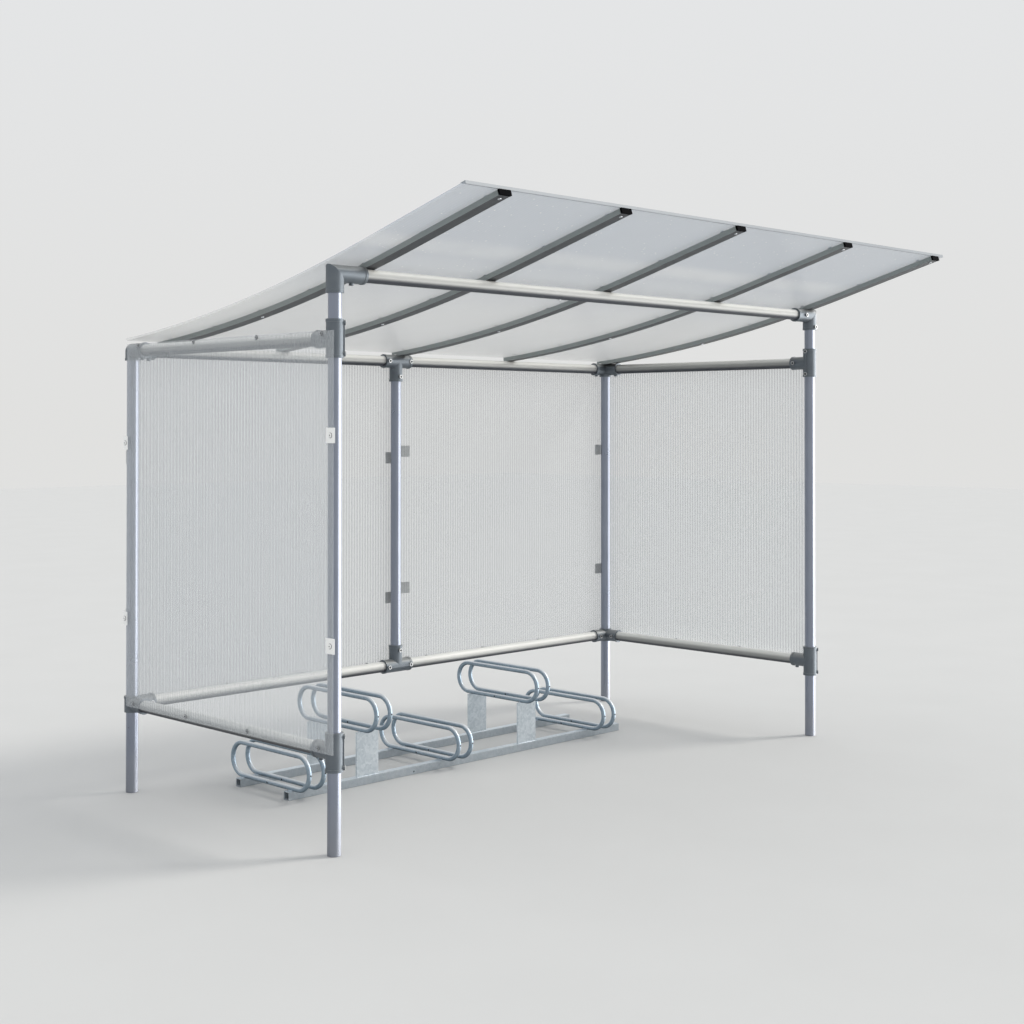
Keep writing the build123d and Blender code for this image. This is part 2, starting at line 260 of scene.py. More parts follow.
# %% Add the sun lamp and the surroundings
SUN_PLACE = (6.6, -3.4, 6.2)
SKY = ((0.0, (0.75, 0.75, 0.74)), (0.3, (0.78, 0.79, 0.80)), (1.0, (0.95, 0.98, 1.02)))
key = bpy.data.lights.new("key_light", "SUN")
key.energy = 1.5
key.color = (1.0, 0.97, 0.92)
key.angle = math.radians(16)
aim("key_light", key, SUN_PLACE, (0, 0, 0))
around = bpy.data.worlds.new("studio")
bpy.context.scene.world = around
around.use_nodes = True
sky = around.node_tree
way = sky.nodes.new("ShaderNodeTexCoord")
height = sky.nodes.new("ShaderNodeSeparateXYZ")
glow = sky.nodes.new("ShaderNodeValToRGB")
glow.color_ramp.elements.new(0.5)
for stop, (at, tone) in zip(glow.color_ramp.elements, SKY):
    stop.position = at
    stop.color = (*tone, 1)
sky.links.new(way.outputs["Generated"], height.inputs["Vector"])
sky.links.new(height.outputs["Z"], glow.inputs["Fac"])
sky.links.new(glow.outputs["Color"], sky.nodes["Background"].inputs["Color"])
bpy.context.scene.view_settings.view_transform = "Standard"
print("sun lamp", round(key.energy, 2), "W a square metre, sky of", len(SKY), "tones")

# %% [markdown]
# The tubes are satin aluminium. A mask made from the way a surface faces tells top from underside: the
# tops are painted lighter, a painted light, with some dust that also makes them less metallic, and the
# undersides are painted darker, a painted shade. A little earth is splashed on the feet. Noise at two
# scales gives the clouding and the grain. The posts stay cold blue-grey and shiny. The level tubes are a
# lighter and warmer copy of the grey, painted light for the warm light that they reflect, and they are
# rougher and less metallic.

# %% Finishes of the tubes
PAINTED_UNDERSIDE_SHADE = (0.055, 0.06, 0.072)
TOP_LIGHT_AND_DUST = (0.72, 0.715, 0.68)
EARTH = (0.30, 0.285, 0.26)


def tube_metal(name, dark, light, metal, roughness):
    finish = Finish(name)
    cloud = finish.noise(6, 4, 0.6)
    earth = finish.band(finish.along("Z"), 0.25, 0.0)
    up = finish.facing_up()
    # Tops painted lighter: painted light, with dust that lowers the metal
    dust_and_top_light = finish.band(up, 0.51, 0.84)
    coat = finish.colour(cloud, dark, light)
    # Undersides painted darker: painted shade
    coat = finish.colour(finish.band(up, 0.47, 0.15), coat, PAINTED_UNDERSIDE_SHADE)
    coat = finish.colour(dust_and_top_light, coat, TOP_LIGHT_AND_DUST)
    finish.set("Base Color", finish.colour(earth * 0.5 * cloud, coat, EARTH))
    finish.set("Metallic", metal - dust_and_top_light * 0.5)
    finish.set("Roughness", roughness + cloud * 0.1 + earth * 0.2)
    finish.bump(finish.noise(420, 3, 0.6), 0.06, 0.0004)
    return finish


post_tube = tube_metal("tube_satin_grey", (0.225, 0.25, 0.31), (0.29, 0.315, 0.375), 0.82, 0.24)
# The level tubes: a lighter, warmer copy of the grey, painted light
level_tube = tube_metal("tube_grey_painted_warm_light", (0.28, 0.285, 0.28), (0.37, 0.375, 0.365), 0.55, 0.50)

# %% [markdown]
# The fittings are rough cast metal, darker than the tubes, with a sandy skin from the mould. A coarse and a
# fine noise make the skin uneven. Where two faces meet, handling has rubbed the skin off and a lighter
# metal shows: the mask for this compares the true normal with one that a Bevel node has rounded.

# %% Finish of the cast fittings
SKIN_DARK, SKIN_LIGHT = (0.095, 0.115, 0.135), (0.17, 0.19, 0.21)
SKIN_DUST, BARE_METAL = (0.38, 0.38, 0.36), (0.36, 0.37, 0.38)
casting = Finish("casting_slate", Metallic=0.6)
patch = casting.noise(14, 4, 0.6)
sand = casting.noise(700, 4, 0.7)
skin = casting.colour(patch, SKIN_DARK, SKIN_LIGHT)
skin = casting.colour(casting.band(casting.facing_up(), 0.6, 0.95) * 0.6, skin, SKIN_DUST)
rubbed = casting.edges(0.0012)
casting.set("Base Color", casting.colour(rubbed * (0.4 + patch * 0.6), skin, BARE_METAL))
casting.set("Roughness", 0.36 + patch * 0.22)
casting.bump(sand + patch * 0.6, 0.22, 0.0006)

# %% [markdown]
# Each rafter is a flat rectangular tube. Its sides catch the light from the floor, and its underside is
# painted darker, a painted shade, so a mask like the one on the tubes splits the two.

# %% Finish of the rafters
rafter = Finish("rafter_grey", Metallic=0.35)
mist = rafter.noise(9, 4, 0.6)
side = rafter.colour(mist, (0.25, 0.28, 0.28), (0.32, 0.35, 0.345))
rafter_underside_shade = rafter.colour(mist, (0.028, 0.031, 0.038), (0.05, 0.054, 0.06))
# Underside painted darker: painted shade
rafter.set("Base Color", rafter.colour(rafter.band(rafter.facing_up(), 0.3, 0.1), side, rafter_underside_shade))
rafter.set("Roughness", 0.38 + mist * 0.15)
rafter.bump(rafter.noise(300, 3), 0.06, 0.0004)

# %% [markdown]
# The end caps are black plastic, matt, and so dark that hardly any shape shows in them. Their shine is set
# almost to nothing, and a fine bump gives the moulded grain.

# %% Finish of the end caps
cap = Finish("cap_black_plastic", Metallic=0.0)
rub = cap.noise(40, 3)
cap.set("Base Color", cap.colour(rub, (0.002, 0.002, 0.0025), (0.006, 0.006, 0.007)))
cap.set("Specular IOR Level", 0.02)
cap.set("Roughness", 0.75 + rub * 0.2)
cap.bump(cap.noise(1500, 2), 0.2, 0.0003)

# %% [markdown]
# A pale strip closes the front edge of the roof sheet. It is coated metal, nearly white, with a slight
# haze.

# %% Finish of the roof trim
trim = Finish("trim_white", Metallic=0.0)
haze = trim.noise(5, 4)
trim.set("Base Color", trim.colour(haze, (0.36, 0.385, 0.41), (0.45, 0.475, 0.50)))
trim.set("Roughness", 0.4 + haze * 0.15)
trim.bump(trim.noise(200, 2), 0.05, 0.0004)

# %% [markdown]
# The clips that hold the wall sheets are small plates with a faint bloom. On the sides they are bright, and
# on the back wall they are a dull grey copy of the same metal, a painted shade.

# %% Finishes of the clips
def clip_metal(name, dark, light):
    finish = Finish(name, Metallic=0.05)
    bloom = finish.noise(30, 4)
    finish.set("Base Color", finish.colour(bloom, dark, light))
    finish.set("Roughness", 0.32 + bloom * 0.15)
    finish.bump(finish.noise(500, 3), 0.08, 0.0003)
    return finish


clip = clip_metal("clip_bright_metal", (0.93, 0.94, 0.93), (0.99, 0.99, 0.98))
# Back-wall clips: a darker copy of the same metal, painted shade
shaded_clip = clip_metal("clip_metal_painted_shade", (0.60, 0.61, 0.605), (0.70, 0.71, 0.70))

# %% [markdown]
# The rack is dipped in molten zinc, which sets in flat crystals called spangle. A Voronoi texture gives one
# shade per cell, as the crystals do. Rails and plates are pale, and on their sides and undersides the lowest
# few centimetres are darker. The bent bars of the loops get a finish of their own: a colder and darker
# copy of the zinc, a painted shade for the dark ground that they reflect, painted darker still underneath
# as painted shade, and painted pale on top as a painted highlight.

# %% Finishes of the galvanised rack
def spangle(name, dark, light, metal):
    finish = Finish(name, Metallic=metal)
    crystal = finish.node("ShaderNodeTexVoronoi", {"feature": "F1"}, {"Vector": finish.place, "Scale": 95})
    shade = finish.node("ShaderNodeSeparateXYZ", {}, {"Vector": crystal["Color"]})["X"]
    weather = finish.noise(8, 4)
    finish.zinc = finish.colour(shade * 0.55 + weather * 0.45, dark, light)
    finish.set("Base Color", finish.zinc)
    finish.set("Roughness", 0.32 + shade * 0.16)
    finish.bump(weather + shade * 0.3, 0.08, 0.0005)
    return finish


galvanised = spangle("galvanised_spangle", (0.54, 0.61, 0.66), (0.82, 0.87, 0.91), 0.6)
# Darker on the sides and undersides of the lowest few centimetres
low_down = galvanised.band(galvanised.along("Z"), 0.040, 0.028)
darker_near_floor = low_down * galvanised.band(galvanised.facing_up(), 0.8, 0.6)
galvanised.set("Base Color", galvanised.colour(darker_near_floor * 0.5, galvanised.zinc, (0.27, 0.30, 0.33)))
# The loops: a darker, colder copy of the zinc, painted shade
loop_bar = spangle("galvanised_loops", (0.235, 0.305, 0.37), (0.37, 0.45, 0.52), 0.88)
up = loop_bar.facing_up()
# Darker underneath: painted shade
bar = loop_bar.colour(loop_bar.band(up, 0.4, 0.05), loop_bar.zinc, (0.12, 0.165, 0.20))
# Pale on top: painted highlight
top = loop_bar.band(up, 0.66, 0.94)
loop_bar.set("Base Color", loop_bar.colour(top, bar, (0.74, 0.77, 0.79)))
loop_bar.set("Metallic", 0.88 - top * 0.45)

# %% [markdown]
# The walls are thin clear sheets with ribs that stand upright, and the roof is a thicker one with a milky
# blue tint below, and its top is painted greyer, a painted shade. In both the ribs are drawn by a sine wave
# across the sheet: along a rib the sheet is a little more opaque and greyer. See-through parts are made with
# Alpha, which every exporter understands. The roof is painted whiter towards the back, a painted light,
# and along its bend, a painted highlight. Pale specks show on it where the cells of a Voronoi texture and a
# coarse noise agree.

# %% Finishes of the sheets
RIB_PITCH = 0.0165


def sheet(name, across, tint, veil, rib, grey=0.72):
    finish = Finish(name, Metallic=0.0, Roughness=0.28)
    turns = finish.along(across) * (2 * math.pi / RIB_PITCH)
    wave = finish.node("ShaderNodeMath", {"operation": "SINE"}, {0: turns})[0]
    line = finish.band(wave, -0.1, 0.9)
    milk = finish.noise(2.5, 3)
    plain = finish.colour(milk, tint, [min(1, t * 1.06) for t in tint])
    finish.film = finish.colour(line, plain, [t * grey for t in tint])
    finish.set("Base Color", finish.film)
    finish.set("Alpha", veil + line * rib + milk * 0.04)
    return finish


PAINTED_BACK_LIGHT, PAINTED_BEND_HIGHLIGHT, SPECK_WHITE = (0.92, 0.92, 0.91), (0.98, 0.98, 0.98), (1.0, 1.0, 1.0)
PAINTED_TOP_SHADE = (0.42, 0.45, 0.50)
wall_side = sheet("wall_sheet_side", "Y", (0.76, 0.80, 0.83), 0.17, 0.17)
wall_back = sheet("wall_sheet_back", "X", (0.76, 0.79, 0.81), 0.17, 0.15)
roof = sheet("roof_sheet_blue", "X", (0.57, 0.63, 0.71), 0.39, 0.015, grey=0.95)
depth = roof.along("Y")
# Whiter towards the back: painted light
film = roof.colour(roof.band(depth, -0.75, 0.30), roof.film, PAINTED_BACK_LIGHT)
# Whiter along the bend: painted highlight
bend_highlight = roof.band(depth, -0.66, -0.57) * roof.band(depth, -0.47, -0.55) * roof.noise(3, 2)
film = roof.colour(bend_highlight * 0.9, film, PAINTED_BEND_HIGHLIGHT)
# Greyer on top: painted shade
film = roof.colour(roof.band(roof.facing_up(), 0.6, 0.9), film, PAINTED_TOP_SHADE)
cell = roof.node("ShaderNodeTexVoronoi", {"feature": "F1"}, {"Vector": roof.place, "Scale": 38})["Distance"]
speck = roof.band(cell, 0.18, 0.07) * roof.band(roof.noise(19, 2), 0.47, 0.57)
roof.set("Base Color", roof.colour(speck, film, SPECK_WHITE))

# %% [markdown]
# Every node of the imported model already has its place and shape. It only gets its finish, in each of its
# material slots, picked by the start of its name.

# %% Give each node its finish
def group(name):
    if name.startswith("rack_loop"):
        return loop_bar
    if name.startswith("rack"):
        return galvanised
    if name.startswith(("elbow", "tee", "corner")):
        return casting
    if name == "rafter_caps":
        return cap
    if name.startswith("rafter"):
        return rafter
    if name == "roof_sheet":
        return roof
    if name == "roof_front_trim":
        return trim
    if name.startswith("panel_back"):
        return wall_back
    if name.startswith("panel"):
        return wall_side
    if name == "clips_back":
        return shaded_clip
    if name.startswith("clips"):
        return clip
    if name.startswith("post"):
        return post_tube
    return level_tube


for name, node in nodes.items():
    finish = group(name).material
    for index in range(len(node.data.materials)):
        node.data.materials[index] = finish
print(len(nodes), "nodes have a finish")

# %% [markdown]
# Small fasteners finish the frame. Each kind is modelled once, standing on the floor at the origin, and
# then copied to its spots. A cylinder is only the start: its rim is rounded with a bevel, and its socket is
# an inset that is pushed down.

# %% Helpers for starting and ending a piece
def cylinder(corners, radius, base, height):
    """Adds a cylinder on the level base: a new piece, or in edit mode a part of the open one."""
    centre_point = (0, 0, base + height / 2)
    bpy.ops.mesh.primitive_cylinder_add(vertices=corners, radius=radius, depth=height, location=centre_point)


def circle(corners, radius, level):
    """Adds a circle at the level, in the same two ways."""
    bpy.ops.mesh.primitive_circle_add(vertices=corners, radius=radius, location=(0, 0, level))


def open_piece(*finishes):
    """Opens a new primitive in edit mode. Its place goes into its mesh, so that z there is the height."""
    bpy.ops.object.transform_apply(location=True, rotation=False, scale=False)
    piece = bpy.context.object
    for finish in finishes:
        piece.data.materials.append(finish.material)
    bpy.ops.object.mode_set(mode="EDIT")
    return piece


def close_piece(title, piece):
    bpy.ops.object.mode_set(mode="OBJECT")
    print(title, len(piece.data.polygons), "faces")


# %% [markdown]
# In edit mode each step works on what is selected. Edges and faces are picked by their height, a hair below
# the level that is meant, or by their distance from the axis.

# %% Helpers for picking and shaping
HAIR = 0.0001


def only(piece, kind, test):
    """In edit mode, leaves only the edges or faces selected that pass the test."""
    bpy.ops.mesh.select_mode(type=kind)
    bpy.ops.mesh.select_all(action="DESELECT")
    mesh = bmesh.from_edit_mesh(piece.data)
    for part in {"EDGE": mesh.edges, "FACE": mesh.faces}[kind]:
        if test(part):
            part.select_set(True)
    bmesh.update_edit_mesh(piece.data)


def high(part, level):
    """True for an edge or a face that is nowhere below the level."""
    return all(v.co.z > level - HAIR for v in part.verts)


def top_face(face, level):
    return face.normal.z > 0.99 and high(face, level)


def on_circle(part, radius):
    """True for an edge whose ends lie on the circle of that radius round the axis."""
    return all(abs(v.co.xy.length - radius) < 1e-5 for v in part.verts)


def pull(height):
    """Extrudes the selection upwards, or down by a height below 0."""
    bpy.ops.mesh.extrude_region_move(TRANSFORM_OT_translate={"value": (0, 0, height)})


def paint(piece, number):
    """Gives the selected faces the finish with that number, counted from 0."""
    piece.active_material_index = number
    bpy.ops.object.material_slot_assign()


# %% [markdown]
# A line sent at a node tells where its surface is and which way it faces, so that each copy sits on what it
# holds. The copies of one kind are joined into one piece. Each is turned further about its own axis than
# the one before, so that neighbours don't look stamped alike.

# %% Helpers for placing copies
COPY_TURN = 2.4


def land(name, start, direction):
    """Where a line that leaves start meets the node, and the way its surface faces there."""
    hit, point, normal = nodes[name].ray_cast(Vector(start), Vector(direction))[:3]
    if not hit:
        raise ValueError(f"no surface of {name} at {start}")
    return point, normal


def copy_of(thing):
    copy = thing.copy()
    copy.data = thing.data.copy()
    bpy.context.collection.objects.link(copy)
    return copy


def give_name(piece, name):
    piece.name = name
    piece.data.name = name


def join_copies(name, master, places):
    """One piece of many copies. A place is a matrix."""
    copies = []
    for place in places:
        copy = copy_of(master)
        copy.data.transform(place)
        copies.append(copy)
    bpy.data.objects.remove(master)
    bpy.ops.object.select_all(action="DESELECT")
    for copy in copies:
        copy.select_set(True)
    bpy.context.view_layer.objects.active = copies[0]
    bpy.ops.object.join()
    piece = bpy.context.object
    give_name(piece, name)
    print(name, len(places), "copies,", len(piece.data.polygons), "faces")
    return piece


def place_copies(name, master, spots):
    """Copies a fastener to its spots. A spot is a point and the way that the copy faces there."""
    places = []
    for number, (point, faces) in enumerate(spots):
        stand = Vector(faces).to_track_quat("Z", "Y").to_matrix().to_4x4()
        places.append(Matrix.Translation(point) @ stand @ Matrix.Rotation(number * COPY_TURN, 4, "Z"))
    piece = join_copies(name, master, places)
    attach(piece, "root")


# %% [markdown]
# Zinc-plated screws are brighter than the castings. Their sockets get a near-black finish of their own, a
# painted shade for the shadow in the hole, so that a socket still reads as a hole when the screw is only a
# few pixels wide.

# %% Finishes of the fasteners
def fine_metal(name, metal, scale, dark, light, roughness):
    finish = Finish(name, Metallic=metal)
    film = finish.noise(scale, 3)
    finish.set("Base Color", finish.colour(film, dark, light))
    finish.set("Roughness", roughness + film * 0.2)
    finish.bump(film, 0.1, 0.0002)
    return finish


zinc = fine_metal("screw_zinc", 0.85, 180, (0.55, 0.58, 0.62), (0.70, 0.72, 0.74), 0.3)
steel = fine_metal("set_screw_dark", 0.7, 250, (0.025, 0.027, 0.03), (0.06, 0.062, 0.066), 0.4)
bright = fine_metal("boss_polished", 0.75, 160, (0.36, 0.37, 0.38), (0.58, 0.59, 0.59), 0.34)
washer = fine_metal("washer_grey", 0.5, 120, (0.20, 0.21, 0.22), (0.32, 0.33, 0.34), 0.45)
# Near-black painted shade for sockets and holes
socket = Finish("socket_shadow", Metallic=0.2)
socket_shade_mottle = socket.noise(300, 3)
socket.set("Base Color", socket.colour(socket_shade_mottle, (0.012, 0.012, 0.013), (0.03, 0.03, 0.03)))
socket.set("Roughness", 0.7 + socket_shade_mottle * 0.2)
rubber = Finish("washer_rubber")
worn = rubber.noise(200, 3)
rubber.set("Base Color", rubber.colour(worn, (0.02, 0.02, 0.022), (0.05, 0.05, 0.052)))
rubber.set("Roughness", 0.6 + worn * 0.25)
rubber.bump(worn, 0.15, 0.0002)

# %% [markdown]
# A set screw has no head. It sits sunk in the cup of a boss, a plain threaded pin with a hexagon socket.
# The socket is made by bridging a hexagon to the round rim and pulling the hexagon down, and its floor is
# painted near-black, a painted shade.

# %% Model one set screw
PIN_RADIUS, PIN_LENGTH, PIN_ROUNDING = 0.0050, 0.0034, 0.0005
HEXAGON_RADIUS, HEXAGON_DEPTH = 0.0027, 0.0024
circle(24, PIN_RADIUS, PIN_LENGTH)
set_screw = open_piece(steel, socket)
circle(6, HEXAGON_RADIUS, PIN_LENGTH)
bpy.ops.mesh.select_all(action="SELECT")
bpy.ops.mesh.bridge_edge_loops()
only(set_screw, "EDGE", lambda e: on_circle(e, HEXAGON_RADIUS))
pull(-HEXAGON_DEPTH)
bpy.ops.mesh.edge_face_add()
bpy.ops.mesh.select_mode(type="FACE")
# The socket's floor: painted shade
paint(set_screw, 1)
only(set_screw, "EDGE", lambda e: on_circle(e, PIN_RADIUS))
pull(-PIN_LENGTH)
bpy.ops.mesh.edge_face_add()
only(set_screw, "EDGE", lambda e: on_circle(e, PIN_RADIUS) and high(e, PIN_LENGTH))
bpy.ops.mesh.bevel(offset=PIN_ROUNDING, segments=2)
bpy.ops.mesh.select_all(action="SELECT")
bpy.ops.mesh.normals_make_consistent(inside=False)
close_piece("set screw", set_screw)

# %% [markdown]
# The face of each boss is a narrow ring that spanners have polished. It is a flat ring laid on the boss: a
# circle is extruded outwards, given a thickness, and its rims are rounded.

# %% Model one polished ring
RING_RADIUS, RING_SPREAD, RING_LEVEL = 0.0056, 1.71, 0.0050
RING_THICKNESS, RING_ROUNDING = 0.0006, 0.0002
circle(28, RING_RADIUS, RING_LEVEL)
ring = open_piece(bright)
bpy.ops.mesh.select_all(action="SELECT")
bpy.ops.mesh.extrude_region_move()
bpy.ops.transform.resize(value=(RING_SPREAD, RING_SPREAD, 1))
bpy.ops.mesh.select_all(action="SELECT")
bpy.ops.mesh.normals_make_consistent(inside=False)
bpy.ops.object.mode_set(mode="OBJECT")
thick = ring.modifiers.new("thick", "SOLIDIFY")
thick.thickness = RING_THICKNESS
thick.offset = 0
bpy.ops.object.modifier_apply(modifier="thick")
rim = ring.modifiers.new("rim", "BEVEL")
rim.width = RING_ROUNDING
rim.segments = 2
bpy.ops.object.modifier_apply(modifier="rim")
ring_top = max(v.co.z for v in ring.data.vertices)
print("polished ring", len(ring.data.polygons), "faces, top at", round(ring_top, 5))

# %% [markdown]
# Every fitting holds its tubes by set screws, one to each mouth. A boss is stated by the fitting, the point
# on the tube's axis beside it and the way it faces, and these follow from the axes of posts and rails. The
# line that looks for the surface starts outside the boss and runs in to the floor of its cup.

# %% Put a set screw in each boss
ALONG_POST, ALONG_BACK, ALONG_RAIL = 0.056, 0.068, 0.075
OUTSIDE_BOSS = 0.08
left, front = post_front_left.x, post_front_left.y
right, back = post_front_right.x, post_back_left.y
centre = middle("post_back_middle").x
beam_z = middle("beam_front").z
top_z = middle("rail_left_top").z
low_z = middle("rail_left_bottom").z
slant = Vector((1, -1, 0)).normalized()
X, Y, Z = Vector((1, 0, 0)), Vector((0, 1, 0)), Vector((0, 0, 1))
bosses = []
for z, name in ((top_z, "top"), (low_z, "bottom")):
    upper = name == "top"
    for end in (-ALONG_POST, ALONG_POST):
        bosses.append((f"tee_left_{name}", (left, front, z + end), slant))
        bosses.append((f"tee_right_{name}", (right, front, z + end), -X if upper else slant))
    for end in (-ALONG_BACK, ALONG_BACK):
        bosses.append((f"tee_middle_{name}", (centre + end, back, z), -Y))
    bosses.append((f"tee_middle_{name}", (centre, back, z + (-ALONG_RAIL if upper else ALONG_RAIL)), -Y))
    bosses.append((f"tee_left_{name}", (left, front + ALONG_RAIL, z), X if upper else -Z))
    bosses.append((f"tee_right_{name}", (right, front + ALONG_RAIL, z), -X if upper else -Z))
    for side, x, inward in (("left", left, 1), ("right", right, -1)):
        corner = f"corner_{side}_{name}"
        bosses.append((corner, (x + inward * ALONG_RAIL, back, z), -Z if upper else -Y))
        bosses.append((corner, (x, back - ALONG_RAIL, z), -Z if upper else X * inward))
bosses += [
    ("elbow_left", (left + ALONG_RAIL, front, beam_z), -Z),
    ("elbow_left", (left, front, beam_z - ALONG_POST), Y),
    ("elbow_right", (right - ALONG_RAIL, front, beam_z), -Y),
    ("elbow_right", (right, front, beam_z - ALONG_POST), -Y),
]
cups, depths = [], []
for name, axis, faces in bosses:
    floor_of_cup = land(name, Vector(axis) + faces * OUTSIDE_BOSS, -faces)[0]
    depths.append((floor_of_cup - Vector(axis)).length * 1000)
    cups.append((floor_of_cup, faces))
print("cup floors lie up to", round(max(depths), 1), "mm from the tubes' axes")
place_copies("set_screws", set_screw, cups)
place_copies("boss_rings", ring, cups)

# %% [markdown]
# The sheets are held by round-headed screws on broad washers, which spread the load so that the thin sheet
# doesn't crack. Washer and head are one turned shape here: each step is an inset that is pulled up, and the
# rims are bevelled.

# %% Model one sheet screw
WASHER_RADIUS, WASHER_HEIGHT, WASHER_BORDER, WASHER_ROUNDING = 0.0095, 0.0012, 0.0030, 0.0004
HEAD_HEIGHT, HEAD_BORDER, HEAD_ROUNDING, HEAD_DEPTH = 0.0024, 0.0012, 0.0015, 0.0016
HEAD_TOP = WASHER_HEIGHT + HEAD_HEIGHT
cylinder(28, WASHER_RADIUS, 0, WASHER_HEIGHT)
sheet_screw = open_piece(washer, socket, zinc)
only(sheet_screw, "FACE", lambda f: top_face(f, WASHER_HEIGHT))
bpy.ops.mesh.inset(thickness=WASHER_BORDER)
paint(sheet_screw, 2)
pull(HEAD_HEIGHT)
only(sheet_screw, "EDGE", lambda e: high(e, HEAD_TOP))
bpy.ops.mesh.bevel(offset=HEAD_ROUNDING, segments=3)
only(sheet_screw, "FACE", lambda f: top_face(f, HEAD_TOP))
bpy.ops.mesh.inset(thickness=HEAD_BORDER)
pull(-HEAD_DEPTH)
# The socket in the head: painted shade
paint(sheet_screw, 1)
only(sheet_screw, "EDGE", lambda e: on_circle(e, WASHER_RADIUS) and high(e, WASHER_HEIGHT))
bpy.ops.mesh.bevel(offset=WASHER_ROUNDING, segments=2)
close_piece("sheet screw", sheet_screw)

# %% [markdown]
# Four screws along each rail hold a sheet at its top and at its bottom. They land on the outside of the
# sheet, a little above the axis of the rail behind it, so that each one bites into the tube. On the side
# walls the rows are measured from a post, and on the back wall a little further in.

# %% Screw the wall sheets to the rails
TOP_ROW = (0.028, 0.420, 0.840, 1.248)
LOW_ROW = (0.043, 0.473, 0.888, 1.277)
ABOVE_TOP_RAIL, ABOVE_LOW_RAIL = 0.018, 0.013
FURTHER_IN = 0.03
OUTSIDE_WALL = 0.2
held = []
for z, row in ((top_z + ABOVE_TOP_RAIL, TOP_ROW), (low_z + ABOVE_LOW_RAIL, LOW_ROW)):
    for y in row:
        held.append(land("panel_left", (left - OUTSIDE_WALL, front + y, z), X))
        held.append(land("panel_right", (right + OUTSIDE_WALL, back - y, z), -X))
    for x in row:
        held.append(land("panel_back_left", (left + x + FURTHER_IN, back + OUTSIDE_WALL, z), -Y))
        held.append(land("panel_back_right", (right - x - FURTHER_IN, back + OUTSIDE_WALL, z), -Y))
place_copies("wall_screws", sheet_screw, held)

# %% [markdown]
# Roofing screws go down through the sheet into each rafter. They are smaller, with a hexagon head that a
# drill drives, standing on a dark rubber washer that keeps the rain out.

# %% Model one roofing screw
RUBBER_RADIUS, RUBBER_HEIGHT = 0.0080, 0.0016
FLANGE_RADIUS, FLANGE_HEIGHT = 0.0068, 0.0008
DRIVE_RADIUS, DRIVE_BASE, DRIVE_HEIGHT = 0.0042, 0.0021, 0.0030
RIM_ROUNDING = 0.0005
cylinder(24, RUBBER_RADIUS, 0, RUBBER_HEIGHT)
roof_screw = open_piece(rubber, zinc)
only(roof_screw, "EDGE", lambda e: high(e, RUBBER_HEIGHT))
bpy.ops.mesh.bevel(offset=RIM_ROUNDING, segments=2)
cylinder(24, FLANGE_RADIUS, RUBBER_HEIGHT, FLANGE_HEIGHT)
paint(roof_screw, 1)
cylinder(6, DRIVE_RADIUS, DRIVE_BASE, DRIVE_HEIGHT)
paint(roof_screw, 1)
only(roof_screw, "EDGE", lambda e: high(e, DRIVE_BASE + DRIVE_HEIGHT))
bpy.ops.mesh.bevel(offset=RIM_ROUNDING, segments=2)
close_piece("roofing screw", roof_screw)

# %% [markdown]
# Seven screws run up each rafter at even steps. Each is dropped from above, so it stands square to the
# curve of the roof where it lands.

# %% Screw the roof sheet to the rafters
RAFTERS = range(1, 6)
STEPS = 6
FIRST_STEP, BOTH_ENDS = 0.09, 0.15
ABOVE_ROOF = 3
roof_low, roof_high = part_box("roof_sheet")
down = []
for number in RAFTERS:
    x = middle(f"rafter_{number}").x
    for step in range(STEPS + 1):
        y = roof_low.y + FIRST_STEP + (roof_high.y - roof_low.y - BOTH_ENDS) * step / STEPS
        down.append(land("roof_sheet", (x, y, ABOVE_ROOF), -Z))
place_copies("roof_screws", roof_screw, down)

# %% [markdown]
# Each clip plate already has the round head of its screw, with a cup for the key. Two small dark parts make
# it read as a screw: a rubber washer that shows as a thin dark line round the head and also stands for the
# shade under the head, and a near-black disc in the cup, a painted shade for the deep socket. Their levels
# are counted from the floor of the cup.

# %% Model the dark parts of a clip's screw
SEAL_RADIUS, SEAL_BASE, SEAL_HEIGHT, SEAL_ROUNDING = 0.0098, -0.0020, 0.0012, 0.0004
DOT_RADIUS, DOT_BASE, DOT_HEIGHT = 0.0030, -0.0002, 0.0010
# A dark rubber washer; its dark ring also stands for the shade under the head
cylinder(32, SEAL_RADIUS, SEAL_BASE, SEAL_HEIGHT)
dark_parts = open_piece(rubber, socket)
only(dark_parts, "EDGE", lambda e: high(e, SEAL_BASE + SEAL_HEIGHT))
bpy.ops.mesh.bevel(offset=SEAL_ROUNDING, segments=2)
# A near-black disc in the cup: painted shade for the socket
cylinder(24, DOT_RADIUS, DOT_BASE, DOT_HEIGHT)
paint(dark_parts, 1)
close_piece("clip screw's dark parts", dark_parts)

# %% [markdown]
# The line that looks for a head starts outside the sheet, at the middle of each clip plate, and ends on the
# floor of the cup. Each clip is stated by its height above the lower rails, and on the back wall each
# column of clips by its place across as well.

# %% Put the dark parts on the clips
OUTER_UPS, INNER_UPS = (0.384, 1.131), (0.362, 1.093)
OUTER_SHIFT, LEFT_SHIFT, RIGHT_SHIFT = 0.0285, 0.011, 0.019
BACK_CLIPS = (
    (left + 0.0165, (0.367, 1.031)),
    (centre + 0.0035, (0.326, 1.008)),
    (centre + 0.0825, (0.367, 1.039)),
    (right - 0.0165, (0.367, 1.031)),
)
heads = []
for up in OUTER_UPS:
    heads.append(land("clips_left", (left - OUTSIDE_WALL, front - OUTER_SHIFT, low_z + up), X))
    heads.append(land("clips_right", (right + OUTSIDE_WALL, back + OUTER_SHIFT, low_z + up), -X))
for up in INNER_UPS:
    heads.append(land("clips_left", (left - OUTSIDE_WALL, back - LEFT_SHIFT, low_z + up), X))
    heads.append(land("clips_right", (right + OUTSIDE_WALL, front + RIGHT_SHIFT, low_z + up), -X))
